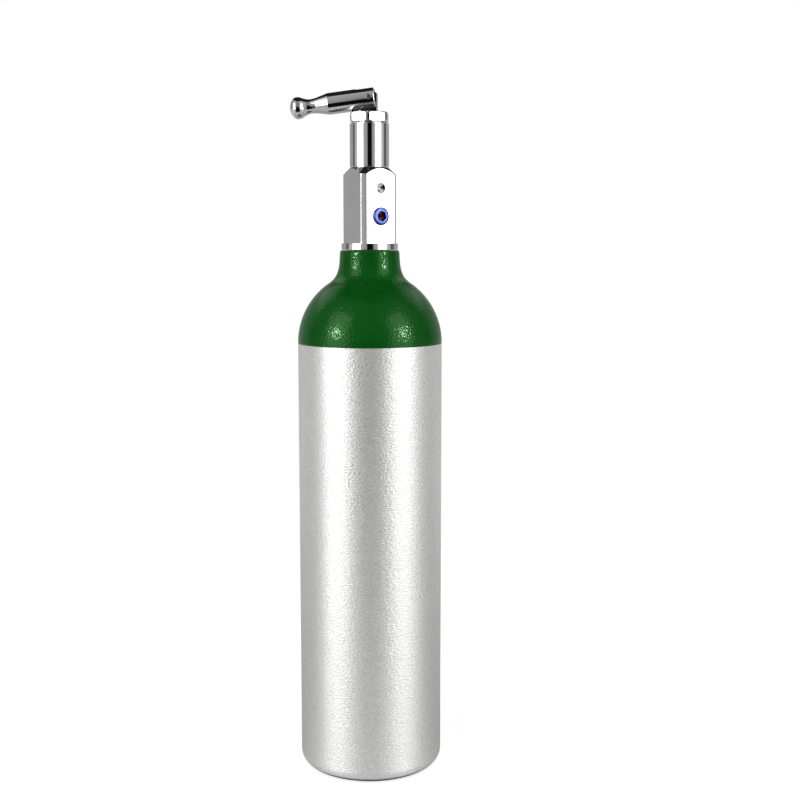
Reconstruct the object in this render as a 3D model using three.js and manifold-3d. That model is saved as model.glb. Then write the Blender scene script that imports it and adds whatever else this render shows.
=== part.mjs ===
// Small aluminium medical oxygen cylinder with a pin-index post valve and a folding lever handle.
// Millimetres. +Z is up, the valve axis is x = y = 0 and the cylinder stands on z = 0.
// The valve post is turned about Z, so its clamp-screw face looks towards -Y and a little to +X.

import * as THREE from 'three';
import { mergeVertices } from 'three/addons/utils/BufferGeometryUtils.js';
import Module from 'manifold-3d';

const wasm = await Module();
wasm.setup();

// ---- driving dimensions -------------------------------------------------------------------
const GAP = 0.3; // clearance between neighbouring pieces
const THIN_GAP = 0.2; // clearance where two pieces are pressed face to face
const ROUND_STEPS = 40; // facets around the cylinder
const VALVE_STEPS = 40; // facets around the valve's turned surfaces
const SMALL_STEPS = 20; // facets around bores, rings and pins

// cylinder
const WALL_R = 40.65; // outside radius of the straight wall
const WALL_T = 5.0; // thickness of the straight wall
const PAINT_Z = 245.0; // where the straight wall ends and the painted shoulder starts
const BASE_EDGE_R = 7.3; // rounding between wall and base
const FOOT_INNER_R = 27.0; // inner edge of the flat ring the cylinder stands on
const BASE_DISH = 6.0; // depth of the dished base
const BASE_T = 8.0; // thickness of the dished base at its centre
const BASE_INNER_CORNER = 14.0; // rounding inside, between wall and base
const NECK_TOP_Z = 296.9;
const NECK_BORE_R = 9.0; // neck thread, drawn as a plain bore
const INNER_DOME_H = 28.0; // inside height of the shoulder above PAINT_Z
const PAINT_T = 0.3;
const PAINT_PROUD = 0.05; // how far the paint stands out from the bare wall
// shoulder and neck outline above the paint line: [radius, height]
const SHOULDER_END_DEG = 57.2; // where the hemispherical shoulder meets the neck's foot
const NECK_OUTLINE = [
  [20.85, 280.3], [19.42, 282.0], [18.3, 284.1], [17.45, 286.9], [17.0, 290.4], [16.6, 296.2],
];
const NECK_EDGE_R = 16.1; // radius of the neck's flat top

// valve body
const POST_TURN_DEG = 32.5; // turn of the square post about Z
const POST_R = 14.77; // round bar the post is milled from
const POST_FLAT = 11.6; // distance of each milled flat from the axis
const COLLAR_R = 15.8;
const COLLAR_BOTTOM_Z = 297.1;
const COLLAR_TOP_Z = 300.7;
const COLLAR_EDGE = 0.35;
const STEM_R = 8.7; // inlet thread, drawn as a plain stem
const STEM_BOTTOM_Z = 271.5;
const STEM_CHAMFER = 1.0;
const POST_SHOULDER_Z = 338.6; // foot of the 45 degree cone on the post
const TOWER_R = 10.93; // round upper part of the body
const TOWER_GROOVE_R = 10.45;
const TOWER_GROOVE_H = 0.62;
const TOWER_TOP_Z = 366.6;
const TOWER_EDGE = 0.4;

// passages inside the valve body
const SEAT_Z = 329.0; // seat that the insert closes
const INLET_R = 1.6;
const DIP_SOCKET_R = 2.7;
const DIP_SOCKET_TOP_Z = 279.0;
const CHAMBER_R = 4.6;
const PLUG_BORE_R = 5.9;
const PLUG_BORE_Z = 335.6;
const FLANGE_BORE_R = 6.9;
const FLANGE_BORE_Z = 345.0;
const BONNET_BORE_R = 8.6;
const BONNET_LEDGE_Z = 350.0;

// outlet, pin-index holes, clamp-screw dimple and relief port
const OUTLET_Z = 331.0;
const OUTLET_R = 3.5;
const OUTLET_DEPTH = 6.0;
const OUTLET_PASSAGE_R = 1.2;
const PIN_HOLE_R = 2.4;
const PIN_HOLE_DEPTH = 5.5;
const PIN_CIRCLE_R = 14.3;
const PIN_ANGLES_DEG = [-18, 18]; // oxygen positions, measured from straight down
const DIMPLE_R = 3.0;
const DIMPLE_HALF_ANGLE_DEG = 55;
const RELIEF_Z = 315.6;
const RELIEF_BORE_R = 4.4;
const RELIEF_FLOOR = 5.1; // distance of the relief port's floor from the valve axis
const RELIEF_PASSAGE_R = 1.0;

// relief plug and its disc
const RELIEF_HEAD_R = 5.0;
const RELIEF_HEAD_TOP_R = 4.2;
const RELIEF_HEAD_H = 1.4;
const RELIEF_SOCKET_AF = 5.0;
const RELIEF_SOCKET_DEPTH = 2.6;
const RELIEF_VENT_R = 1.0;
const RELIEF_GASKET_T = 0.8;
const BURST_DISC_T = 0.3;

// bonnet nut
const HEX_FLAT = 10.32; // half of the size across flats
const HEX_CORNER_R = 11.3; // turned corners
const HEX_TURN_DEG = -5.3;
const HEX_BOTTOM_Z = 367.0;
const HEX_TOP_Z = 372.85;
const HEX_TOP_R = 10.1; // inner edge of the chamfer on the hexagon
const HEX_CHAMFER_SLOPE = 0.58;
const BONNET_BORE_FOR_SPINDLE_R = 5.0;
const BONNET_SHANK_BOTTOM_Z = 351.1;

// spindle, its rings and washer
const SPINDLE_R = 4.7;
const SPINDLE_SHOULDER_Z = 373.25; // foot of the flat tongue
const SPINDLE_TOP_Z = 383.7;
const TONGUE_T = 4.6;
const TONGUE_CORNER = 1.6;
const FLANGE_R = 6.5;
const FLANGE_BOTTOM_Z = 346.2;
const FLANGE_TOP_Z = 348.8;
const TANG_W = 6.4;
const TANG_T = 2.4;
const TANG_BOTTOM_Z = 341.4;
const RING_GROOVE_R = 3.1;
const RING_GROOVE_H = 3.2;
const RING_GROOVE_ZS = [354.6, 361.4];
const RING_SECTION_R = 0.7;
const BACKUP_T = 1.0;
const THRUST_WASHER_T = 1.6;

// lower plug and seat insert
const PLUG_TOP_Z = 344.4;
const PLUG_NOSE_R = 3.3;
const PLUG_SLOT_FLOOR_Z = 340.0;
const INSERT_R = 2.3;
const INSERT_T = 2.4;
const INSERT_BOTTOM_Z = 329.25;

// lever and its pin
const LEVER_YAW_DEG = -6; // turn of spindle and lever about Z
const LEVER_TILT_DEG = 7.2; // knob end lies this far below level
const LEVER_R = 5.97;
const LEVER_AXIS_DROP = 0.64; // pin centre to the bar's centre line
const PIN_Z = 381.08;
const LEVER_END = 3.25; // bar end beyond the pin
const LEVER_SLOT_W = 5.2;
const LEVER_SLOT_REACH = 7.0; // slot floor beyond the pin
const LEVER_EDGE = 0.5;
const LEVER_TAPER_START = 22.9;
const LEVER_NECK_AT = 32.4;
const LEVER_NECK_R = 3.97;
const KNOB_AT = 40.5; // widest point of the knob
const KNOB_R = 6.1;
const KNOB_TIP = 44.65;
const PIN_R = 1.2;
const PIN_HOLLOW_R = 0.6;
const PIN_SLIT = 0.3;
const PIN_HOLE_CLEARANCE = 0.25;

// neck sealing ring and dip tube
const NECK_RING_SECTION_R = 1.05;
const NECK_RING_R = 10.05;
const NECK_RING_Z = 295.9;
const NECK_GLAND_R = 11.4;
const NECK_GLAND_FLOOR_Z = 294.5;
const DIP_TUBE_R = 2.4;
const DIP_TUBE_BORE_R = 1.5;
const DIP_TUBE_TOP_Z = 278.6;
const DIP_TUBE_BOTTOM_Z = 238.0;

const POST_TURN = THREE.MathUtils.degToRad(POST_TURN_DEG);
const OVERCUT = 1.0; // how far a cutter runs past the face it cuts

// ---- helpers ------------------------------------------------------------------------------
function dropDegenerate(geometry) {
  const source = geometry.index.array;
  const kept = [];
  for (let i = 0; i < source.length; i += 3) {
    const [a, b, c] = [source[i], source[i + 1], source[i + 2]];
    if (a !== b && b !== c && c !== a) {
      kept.push(a, b, c);
    }
  }
  geometry.setIndex(kept);
  return geometry;
}

function signedVolume(geometry) {
  const position = geometry.attributes.position;
  const index = geometry.index.array;
  const [a, b, c] = [new THREE.Vector3(), new THREE.Vector3(), new THREE.Vector3()];
  let volume = 0;
  for (let i = 0; i < index.length; i += 3) {
    a.fromBufferAttribute(position, index[i]);
    b.fromBufferAttribute(position, index[i + 1]);
    c.fromBufferAttribute(position, index[i + 2]);
    volume += a.dot(b.cross(c)) / 6;
  }
  return volume;
}

function faceOutwards(geometry) {
  if (signedVolume(geometry) < 0) {
    const index = geometry.index.array;
    for (let i = 0; i < index.length; i += 3) {
      [index[i + 1], index[i + 2]] = [index[i + 2], index[i + 1]];
    }
  }
  return geometry;
}

function toSolid(geometry) {
  const bare = geometry.clone();
  bare.deleteAttribute('normal');
  bare.deleteAttribute('uv');
  const closed = faceOutwards(dropDegenerate(mergeVertices(bare, 1e-5)));
  return new wasm.Manifold(new wasm.Mesh({
    numProp: 3,
    vertProperties: new Float32Array(closed.attributes.position.array),
    triVerts: new Uint32Array(closed.index.array),
  }));
}

function toGeometry(solid) {
  const mesh = solid.getMesh();
  const geometry = new THREE.BufferGeometry();
  geometry.setAttribute('position', new THREE.BufferAttribute(new Float32Array(mesh.vertProperties), 3));
  geometry.setIndex(Array.from(mesh.triVerts));
  geometry.computeVertexNormals();
  return geometry;
}

// Turned solid: outline is [radius, height] pairs that start and end on the axis, or close on themselves.
function turned(outline, steps) {
  const points = outline.map(([r, z]) => new THREE.Vector2(r, z));
  return new THREE.LatheGeometry(points, steps).rotateX(Math.PI / 2);
}

function disc(radius, low, high, steps = SMALL_STEPS) {
  return turned([[0, low], [radius, low], [radius, high], [0, high]], steps);
}

function ring(innerR, outerR, low, high, steps = SMALL_STEPS) {
  const outline = [[innerR, low], [outerR, low], [outerR, high], [innerR, high], [innerR, low]];
  return turned(outline, steps);
}

function roundRing(ringR, sectionR, z, steps = SMALL_STEPS) {
  return new THREE.TorusGeometry(ringR, sectionR, 8, steps).translate(0, 0, z);
}

// Turn a piece drawn along +Z so that it points along a horizontal direction, starting at the axis.
function pointOutwards(geometry, heading, z) {
  return geometry.rotateX(Math.PI / 2).rotateZ(heading).translate(0, 0, z);
}

const BACK_FACE = POST_TURN; // clamp-screw dimple and relief plug, towards -Y at zero turn
const FRONT_FACE = POST_TURN + Math.PI; // outlet and pin-index holes

function arc(centreR, centreZ, radiusR, radiusZ, fromDeg, toDeg, steps) {
  const points = [];
  for (let i = 0; i <= steps; i += 1) {
    const angle = THREE.MathUtils.degToRad(fromDeg + ((toDeg - fromDeg) * i) / steps);
    points.push([centreR + radiusR * Math.cos(angle), centreZ + radiusZ * Math.sin(angle)]);
  }
  return points;
}

// ---- cylinder -----------------------------------------------------------------------------
function shoulderOutline(inset) {
  const dome = arc(0, PAINT_Z, WALL_R - inset, WALL_R - inset, 0, SHOULDER_END_DEG, 7);
  const neck = NECK_OUTLINE.map(([r, z]) => [r - inset, z]);
  return [...dome, ...neck];
}

function cylinderShell() {
  const innerR = WALL_R - WALL_T;
  const innerFloor = BASE_DISH + BASE_T;
  const underPaint = PAINT_T + THIN_GAP - PAINT_PROUD;
  const outline = [
    [0, BASE_DISH],
    [FOOT_INNER_R * 0.5, BASE_DISH * 0.78],
    [FOOT_INNER_R * 0.85, BASE_DISH * 0.26],
    [FOOT_INNER_R, 0],
    ...arc(WALL_R - BASE_EDGE_R, BASE_EDGE_R, BASE_EDGE_R, BASE_EDGE_R, -90, 0, 6),
    [WALL_R, PAINT_Z - THIN_GAP],
    ...shoulderOutline(underPaint),
    [NECK_EDGE_R - underPaint, NECK_TOP_Z],
    [NECK_GLAND_R, NECK_TOP_Z],
    [NECK_GLAND_R, NECK_GLAND_FLOOR_Z],
    [NECK_BORE_R, NECK_GLAND_FLOOR_Z],
    ...arc(0, PAINT_Z, innerR, INNER_DOME_H, 75.4, 0, 5),
    ...arc(innerR - BASE_INNER_CORNER, innerFloor + BASE_INNER_CORNER,
      BASE_INNER_CORNER, BASE_INNER_CORNER, 0, -90, 5),
    [0, innerFloor],
  ];
  return turned(outline, ROUND_STEPS);
}

function shoulderPaint() {
  const outside = shoulderOutline(-PAINT_PROUD);
  const inside = shoulderOutline(PAINT_T - PAINT_PROUD);
  const outline = [...outside, ...inside.reverse(), outside[0]];
  return turned(outline, ROUND_STEPS);
}

function neckRing() {
  return roundRing(NECK_RING_R, NECK_RING_SECTION_R, NECK_RING_Z, 32);
}

// ---- valve body ---------------------------------------------------------------------------
function valveOutside() {
  const coneRise = POST_R - TOWER_R;
  const towerFoot = POST_SHOULDER_Z + coneRise;
  const lower = turned([
    [0, STEM_BOTTOM_Z],
    [STEM_R - STEM_CHAMFER, STEM_BOTTOM_Z],
    [STEM_R, STEM_BOTTOM_Z + STEM_CHAMFER],
    [STEM_R, COLLAR_BOTTOM_Z],
    [COLLAR_R - COLLAR_EDGE, COLLAR_BOTTOM_Z],
    [COLLAR_R, COLLAR_BOTTOM_Z + COLLAR_EDGE],
    [COLLAR_R, COLLAR_TOP_Z - COLLAR_EDGE],
    [COLLAR_R - COLLAR_EDGE, COLLAR_TOP_Z],
    [0, COLLAR_TOP_Z],
  ], VALVE_STEPS);
  const upper = turned([
    [0, COLLAR_BOTTOM_Z],
    [POST_R, COLLAR_BOTTOM_Z],
    [POST_R, POST_SHOULDER_Z],
    [TOWER_R, towerFoot],
    [TOWER_GROOVE_R, towerFoot],
    [TOWER_GROOVE_R, towerFoot + TOWER_GROOVE_H],
    [TOWER_R, towerFoot + TOWER_GROOVE_H],
    [TOWER_R, TOWER_TOP_Z - TOWER_EDGE],
    [TOWER_R - TOWER_EDGE, TOWER_TOP_Z],
    [0, TOWER_TOP_Z],
  ], VALVE_STEPS);
  const height = TOWER_TOP_Z - COLLAR_BOTTOM_Z + 2 * OVERCUT;
  const milled = new THREE.BoxGeometry(2 * POST_FLAT, 2 * POST_FLAT, height)
    .translate(0, 0, (COLLAR_BOTTOM_Z + TOWER_TOP_Z) / 2)
    .rotateZ(POST_TURN);
  return toSolid(lower).add(toSolid(upper).intersect(toSolid(milled)));
}

function valveCentreBores() {
  return turned([
    [0, STEM_BOTTOM_Z - OVERCUT],
    [DIP_SOCKET_R, STEM_BOTTOM_Z - OVERCUT],
    [DIP_SOCKET_R, DIP_SOCKET_TOP_Z],
    [INLET_R, DIP_SOCKET_TOP_Z],
    [INLET_R, SEAT_Z],
    [CHAMBER_R, SEAT_Z],
    [CHAMBER_R, PLUG_BORE_Z],
    [PLUG_BORE_R, PLUG_BORE_Z],
    [PLUG_BORE_R, FLANGE_BORE_Z],
    [FLANGE_BORE_R, FLANGE_BORE_Z],
    [FLANGE_BORE_R, BONNET_LEDGE_Z],
    [BONNET_BORE_R, BONNET_LEDGE_Z],
    [BONNET_BORE_R, TOWER_TOP_Z + OVERCUT],
    [0, TOWER_TOP_Z + OVERCUT],
  ], SMALL_STEPS);
}

function outletPort() {
  const mouth = POST_FLAT + OVERCUT;
  const port = turned([
    [0, CHAMBER_R - OVERCUT],
    [OUTLET_PASSAGE_R, CHAMBER_R - OVERCUT],
    [OUTLET_PASSAGE_R, POST_FLAT - OUTLET_DEPTH],
    [OUTLET_R, POST_FLAT - OUTLET_DEPTH],
    [OUTLET_R, mouth],
    [0, mouth],
  ], SMALL_STEPS);
  return pointOutwards(port, FRONT_FACE, OUTLET_Z);
}

function pinIndexHole(angleDeg) {
  const angle = THREE.MathUtils.degToRad(angleDeg);
  const hole = disc(PIN_HOLE_R, POST_FLAT - PIN_HOLE_DEPTH, POST_FLAT + OVERCUT, 24);
  hole.translate(PIN_CIRCLE_R * Math.sin(angle), 0, 0);
  return pointOutwards(hole, FRONT_FACE, OUTLET_Z - PIN_CIRCLE_R * Math.cos(angle));
}

function clampDimple() {
  const depth = DIMPLE_R / Math.tan(THREE.MathUtils.degToRad(DIMPLE_HALF_ANGLE_DEG));
  const cone = turned([
    [0, POST_FLAT - depth],
    [DIMPLE_R * 1.5, POST_FLAT + depth * 0.5],
    [0, POST_FLAT + depth * 0.5],
  ], SMALL_STEPS);
  return pointOutwards(cone, BACK_FACE, OUTLET_Z);
}

function reliefPort() {
  const port = turned([
    [0, 0],
    [RELIEF_PASSAGE_R, 0],
    [RELIEF_PASSAGE_R, RELIEF_FLOOR],
    [RELIEF_BORE_R, RELIEF_FLOOR],
    [RELIEF_BORE_R, POST_FLAT + OVERCUT],
    [0, POST_FLAT + OVERCUT],
  ], SMALL_STEPS);
  return pointOutwards(port, BACK_FACE, RELIEF_Z);
}

function valveBody() {
  const cutters = [valveCentreBores(), outletPort(), clampDimple(), reliefPort()];
  for (const angle of PIN_ANGLES_DEG) {
    cutters.push(pinIndexHole(angle));
  }
  let body = valveOutside();
  for (const cutter of cutters) {
    body = body.subtract(toSolid(cutter));
  }
  return toGeometry(body);
}

function dipTube() {
  return ring(DIP_TUBE_BORE_R, DIP_TUBE_R, DIP_TUBE_BOTTOM_Z, DIP_TUBE_TOP_Z, 24);
}

// ---- relief device ------------------------------------------------------------------------
const GASKET_START = RELIEF_FLOOR + THIN_GAP;
const DISC_START = GASKET_START + RELIEF_GASKET_T + THIN_GAP;
const PLUG_START = DISC_START + BURST_DISC_T + THIN_GAP;

function reliefGasket() {
  const gasket = ring(RELIEF_PASSAGE_R + 1, RELIEF_BORE_R - GAP, GASKET_START, GASKET_START + RELIEF_GASKET_T);
  return pointOutwards(gasket, BACK_FACE, RELIEF_Z);
}

function burstDisc() {
  const plate = disc(RELIEF_BORE_R - GAP, DISC_START, DISC_START + BURST_DISC_T);
  return pointOutwards(plate, BACK_FACE, RELIEF_Z);
}

function reliefPlug() {
  const headStart = POST_FLAT + THIN_GAP;
  const headEnd = POST_FLAT + RELIEF_HEAD_H;
  const blank = turned([
    [0, PLUG_START],
    [RELIEF_BORE_R - GAP, PLUG_START],
    [RELIEF_BORE_R - GAP, headStart],
    [RELIEF_HEAD_R, headStart],
    [RELIEF_HEAD_R, headStart + 0.4],
    [RELIEF_HEAD_R - 0.25, headEnd - 0.35],
    [RELIEF_HEAD_TOP_R, headEnd],
    [0, headEnd],
  ], 36);
  const socketR = RELIEF_SOCKET_AF / Math.sqrt(3);
  const socket = disc(socketR, headEnd - RELIEF_SOCKET_DEPTH, headEnd + OVERCUT, 6);
  const vent = disc(RELIEF_VENT_R, PLUG_START - OVERCUT, headEnd, 16);
  const plug = toSolid(blank).subtract(toSolid(socket)).subtract(toSolid(vent));
  return pointOutwards(toGeometry(plug), BACK_FACE, RELIEF_Z);
}

// ---- bonnet -------------------------------------------------------------------------------
function bonnetNut() {
  const shankR = BONNET_BORE_R - GAP;
  const edgeDrop = (HEX_CORNER_R - HEX_TOP_R) * HEX_CHAMFER_SLOPE;
  const head = turned([
    [0, HEX_BOTTOM_Z],
    [HEX_TOP_R, HEX_BOTTOM_Z],
    [HEX_CORNER_R, HEX_BOTTOM_Z + edgeDrop],
    [HEX_CORNER_R, HEX_TOP_Z - edgeDrop],
    [HEX_TOP_R, HEX_TOP_Z],
    [0, HEX_TOP_Z],
  ], 60);
  const cornerR = HEX_FLAT / Math.cos(Math.PI / 6);
  const prism = disc(cornerR, HEX_BOTTOM_Z - OVERCUT, HEX_TOP_Z + OVERCUT, 6)
    .rotateZ(THREE.MathUtils.degToRad(HEX_TURN_DEG));
  const shank = disc(shankR, BONNET_SHANK_BOTTOM_Z, HEX_BOTTOM_Z + OVERCUT, 32);
  const bore = disc(BONNET_BORE_FOR_SPINDLE_R, BONNET_SHANK_BOTTOM_Z - OVERCUT, HEX_TOP_Z + OVERCUT);
  const nut = toSolid(head).intersect(toSolid(prism)).add(toSolid(shank));
  return toGeometry(nut.subtract(toSolid(bore)));
}

function bonnetGasket() {
  const low = BONNET_LEDGE_Z + THIN_GAP;
  return ring(FLANGE_BORE_R + 0.1, BONNET_BORE_R - GAP, low, BONNET_SHANK_BOTTOM_Z - THIN_GAP, 32);
}

// ---- spindle ------------------------------------------------------------------------------
function spindleTongue() {
  const half = SPINDLE_R;
  const low = SPINDLE_SHOULDER_Z - OVERCUT;
  const side = new THREE.Shape();
  side.moveTo(-half, low);
  side.lineTo(half, low);
  side.lineTo(half, SPINDLE_TOP_Z - TONGUE_CORNER);
  side.absarc(half - TONGUE_CORNER, SPINDLE_TOP_Z - TONGUE_CORNER, TONGUE_CORNER, 0, Math.PI / 2, false);
  side.absarc(TONGUE_CORNER - half, SPINDLE_TOP_Z - TONGUE_CORNER, TONGUE_CORNER, Math.PI / 2, Math.PI, false);
  side.lineTo(-half, low);
  const depth = { depth: TONGUE_T, bevelEnabled: false, curveSegments: 6 };
  return new THREE.ExtrudeGeometry(side, depth).rotateX(Math.PI / 2).translate(0, TONGUE_T / 2, 0);
}

function spindle() {
  const outline = [
    [0, FLANGE_BOTTOM_Z],
    [FLANGE_R, FLANGE_BOTTOM_Z],
    [FLANGE_R, FLANGE_TOP_Z],
    [SPINDLE_R, FLANGE_TOP_Z],
  ];
  for (const z of RING_GROOVE_ZS) {
    outline.push([SPINDLE_R, z], [RING_GROOVE_R, z]);
    outline.push([RING_GROOVE_R, z + RING_GROOVE_H], [SPINDLE_R, z + RING_GROOVE_H]);
  }
  outline.push([SPINDLE_R, SPINDLE_SHOULDER_Z], [0, SPINDLE_SHOULDER_Z]);
  const shaft = toSolid(turned(outline, 32));
  const round = toSolid(disc(SPINDLE_R, SPINDLE_SHOULDER_Z - OVERCUT, SPINDLE_TOP_Z + OVERCUT, 32));
  const tongue = toSolid(spindleTongue()).intersect(round);
  const tang = new THREE.BoxGeometry(TANG_W, TANG_T, FLANGE_BOTTOM_Z - TANG_BOTTOM_Z + OVERCUT)
    .translate(0, 0, (FLANGE_BOTTOM_Z + OVERCUT + TANG_BOTTOM_Z) / 2);
  const pinHole = disc(PIN_R + PIN_HOLE_CLEARANCE, -TONGUE_T, TONGUE_T, 24)
    .rotateX(Math.PI / 2).translate(0, 0, PIN_Z);
  const whole = shaft.add(tongue).add(toSolid(tang)).subtract(toSolid(pinHole));
  return toGeometry(whole).rotateZ(THREE.MathUtils.degToRad(LEVER_YAW_DEG));
}

function spindleRing(grooveZ) {
  const middle = (RING_GROOVE_R + BONNET_BORE_FOR_SPINDLE_R) / 2;
  return roundRing(middle, RING_SECTION_R, grooveZ + RING_SECTION_R + 0.25);
}

function backupRing(grooveZ) {
  const top = grooveZ + RING_GROOVE_H - 0.25;
  return ring(RING_GROOVE_R + GAP, BONNET_BORE_FOR_SPINDLE_R - THIN_GAP, top - BACKUP_T, top);
}

function thrustWasher() {
  const low = FLANGE_TOP_Z + THIN_GAP;
  return ring(SPINDLE_R + GAP, FLANGE_R, low, low + THRUST_WASHER_T);
}

// ---- lower plug and seat ------------------------------------------------------------------
function lowerPlug() {
  const bodyR = PLUG_BORE_R - GAP;
  const noseBottom = INSERT_BOTTOM_Z + 0.5;
  const pocketTop = INSERT_BOTTOM_Z + INSERT_T + THIN_GAP;
  const blank = turned([
    [0, pocketTop],
    [INSERT_R + THIN_GAP, pocketTop],
    [INSERT_R + THIN_GAP, noseBottom],
    [PLUG_NOSE_R, noseBottom],
    [PLUG_NOSE_R, PLUG_BORE_Z + GAP],
    [bodyR, PLUG_BORE_Z + GAP],
    [bodyR, PLUG_TOP_Z],
    [0, PLUG_TOP_Z],
  ], SMALL_STEPS);
  const slot = new THREE.BoxGeometry(TANG_W + 2 * GAP, TANG_T + 2 * GAP, PLUG_TOP_Z - PLUG_SLOT_FLOOR_Z + OVERCUT)
    .translate(0, 0, (PLUG_TOP_Z + OVERCUT + PLUG_SLOT_FLOOR_Z) / 2);
  const plug = toGeometry(toSolid(blank).subtract(toSolid(slot)));
  return plug.rotateZ(THREE.MathUtils.degToRad(LEVER_YAW_DEG));
}

function seatInsert() {
  return disc(INSERT_R, INSERT_BOTTOM_Z, INSERT_BOTTOM_Z + INSERT_T);
}

// ---- lever --------------------------------------------------------------------------------
// Drawn with its pin at the origin and its knob towards -X, then laid down and turned into place.
function layLever(geometry) {
  return geometry
    .rotateY(THREE.MathUtils.degToRad(-LEVER_TILT_DEG))
    .rotateZ(THREE.MathUtils.degToRad(LEVER_YAW_DEG))
    .translate(0, 0, PIN_Z);
}

function leverOutline() {
  const knobBack = arc(0, KNOB_AT, KNOB_R, KNOB_R, -36, 0, 4);
  const knobTip = arc(0, KNOB_AT, KNOB_R, KNOB_TIP - KNOB_AT, 15, 90, 5);
  knobTip[knobTip.length - 1] = [0, KNOB_TIP];
  return [
    [0, -LEVER_END],
    [LEVER_R - LEVER_EDGE, -LEVER_END],
    [LEVER_R, LEVER_EDGE - LEVER_END],
    [LEVER_R, LEVER_TAPER_START],
    [LEVER_NECK_R + 0.26, LEVER_NECK_AT - 2.4],
    [LEVER_NECK_R, LEVER_NECK_AT],
    [LEVER_NECK_R + 0.08, LEVER_NECK_AT + 1.4],
    [LEVER_NECK_R + 0.34, LEVER_NECK_AT + 2.6],
    [LEVER_NECK_R + 0.75, LEVER_NECK_AT + 3.8],
    ...knobBack,
    ...knobTip,
  ];
}

function lever() {
  const bar = turned(leverOutline(), 32).rotateY(-Math.PI / 2).translate(0, 0, -LEVER_AXIS_DROP);
  const slotLength = LEVER_END + LEVER_SLOT_REACH + OVERCUT;
  const slot = new THREE.BoxGeometry(slotLength, LEVER_SLOT_W, 4 * LEVER_R)
    .translate(slotLength / 2 - LEVER_SLOT_REACH, 0, 0);
  const hole = disc(PIN_R + PIN_HOLE_CLEARANCE, -2 * LEVER_R, 2 * LEVER_R, 24).rotateX(Math.PI / 2);
  return layLever(toGeometry(toSolid(bar).subtract(toSolid(slot)).subtract(toSolid(hole))));
}

function leverPin() {
  const half = LEVER_R - 0.2;
  const tube = toSolid(ring(PIN_HOLLOW_R, PIN_R, -half, half, 24));
  const slit = new THREE.BoxGeometry(2 * PIN_R, PIN_SLIT, 3 * half).translate(PIN_R, 0, 0);
  return layLever(toGeometry(tube.subtract(toSolid(slit))).rotateX(Math.PI / 2));
}

// ---- assembly -----------------------------------------------------------------------------
const LOOKS = {
  aluminium: { color: 0xb9bbbd, roughness: 0.38, metalness: 1.0 },
  enamel: { color: 0x0b5a1c, roughness: 0.18, metalness: 0.0 },
  chrome: { color: 0xd9dadb, roughness: 0.08, metalness: 1.0 },
  steel: { color: 0x9a9a9a, roughness: 0.35, metalness: 1.0 },
  brass: { color: 0xb08d3c, roughness: 0.35, metalness: 1.0 },
  copper: { color: 0xb4693b, roughness: 0.35, metalness: 1.0 },
  blueAnodised: { color: 0x3f93e8, roughness: 0.3, metalness: 0.6 },
  rubber: { color: 0x1b1b1c, roughness: 0.8, metalness: 0.0 },
  nylon: { color: 0xe6e2d6, roughness: 0.55, metalness: 0.0 },
};

const group = new THREE.Group();
group.name = 'oxygen_cylinder';

function place(name, geometry, look) {
  const mesh = new THREE.Mesh(geometry, new THREE.MeshStandardMaterial(LOOKS[look]));
  mesh.name = name;
  group.add(mesh);
}

place('cylinder_shell', cylinderShell(), 'aluminium');
place('shoulder_paint', shoulderPaint(), 'enamel');
place('neck_o_ring', neckRing(), 'rubber');
place('valve_body', valveBody(), 'chrome');
place('dip_tube', dipTube(), 'brass');
place('relief_gasket', reliefGasket(), 'nylon');
place('burst_disc', burstDisc(), 'copper');
place('relief_plug', reliefPlug(), 'blueAnodised');
place('bonnet_nut', bonnetNut(), 'chrome');
place('bonnet_gasket', bonnetGasket(), 'nylon');
place('spindle', spindle(), 'steel');
place('spindle_o_ring_lower', spindleRing(RING_GROOVE_ZS[0]), 'rubber');
place('spindle_o_ring_upper', spindleRing(RING_GROOVE_ZS[1]), 'rubber');
place('backup_ring_lower', backupRing(RING_GROOVE_ZS[0]), 'nylon');
place('backup_ring_upper', backupRing(RING_GROOVE_ZS[1]), 'nylon');
place('thrust_washer', thrustWasher(), 'nylon');
place('lower_plug', lowerPlug(), 'brass');
place('seat_insert', seatInsert(), 'nylon');
place('lever', lever(), 'chrome');
place('lever_pin', leverPin(), 'steel');

export default group;
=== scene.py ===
"""Looks for the small oxygen cylinder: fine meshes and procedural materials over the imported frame.

Lengths in this file are millimetres in the row frame and are scaled to metres when a mesh is made.
"""
import math

import bmesh
import bpy
import numpy as np
from mathutils import Matrix, Vector


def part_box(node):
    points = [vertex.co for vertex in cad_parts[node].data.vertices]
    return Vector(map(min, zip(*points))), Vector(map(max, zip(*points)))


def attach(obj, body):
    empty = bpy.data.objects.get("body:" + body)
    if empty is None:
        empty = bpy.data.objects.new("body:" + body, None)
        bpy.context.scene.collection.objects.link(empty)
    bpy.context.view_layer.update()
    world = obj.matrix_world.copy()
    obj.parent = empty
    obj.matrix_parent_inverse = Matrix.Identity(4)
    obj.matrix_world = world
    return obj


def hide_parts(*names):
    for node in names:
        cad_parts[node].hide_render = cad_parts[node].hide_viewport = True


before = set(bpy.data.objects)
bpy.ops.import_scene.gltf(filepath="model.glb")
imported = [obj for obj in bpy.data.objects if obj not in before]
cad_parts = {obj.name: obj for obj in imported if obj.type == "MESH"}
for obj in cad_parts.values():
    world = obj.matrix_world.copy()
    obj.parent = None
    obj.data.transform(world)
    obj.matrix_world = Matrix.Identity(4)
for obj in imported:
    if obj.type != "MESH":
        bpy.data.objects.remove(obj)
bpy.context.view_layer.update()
MM = 0.001

# ---- sizes shared by several pieces, in millimetres --------------------------------------
POST_TURN = math.radians(32.5)
POST_FLAT = 11.6
LEVER_YAW = math.radians(-6.0)
LEVER_TILT = math.radians(7.2)
PIN_Z = 381.08
OUTLET_Z = 331.0
RELIEF_Z = 315.6


def low_high(node):
    low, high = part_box(node)
    return low / MM, high / MM


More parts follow.
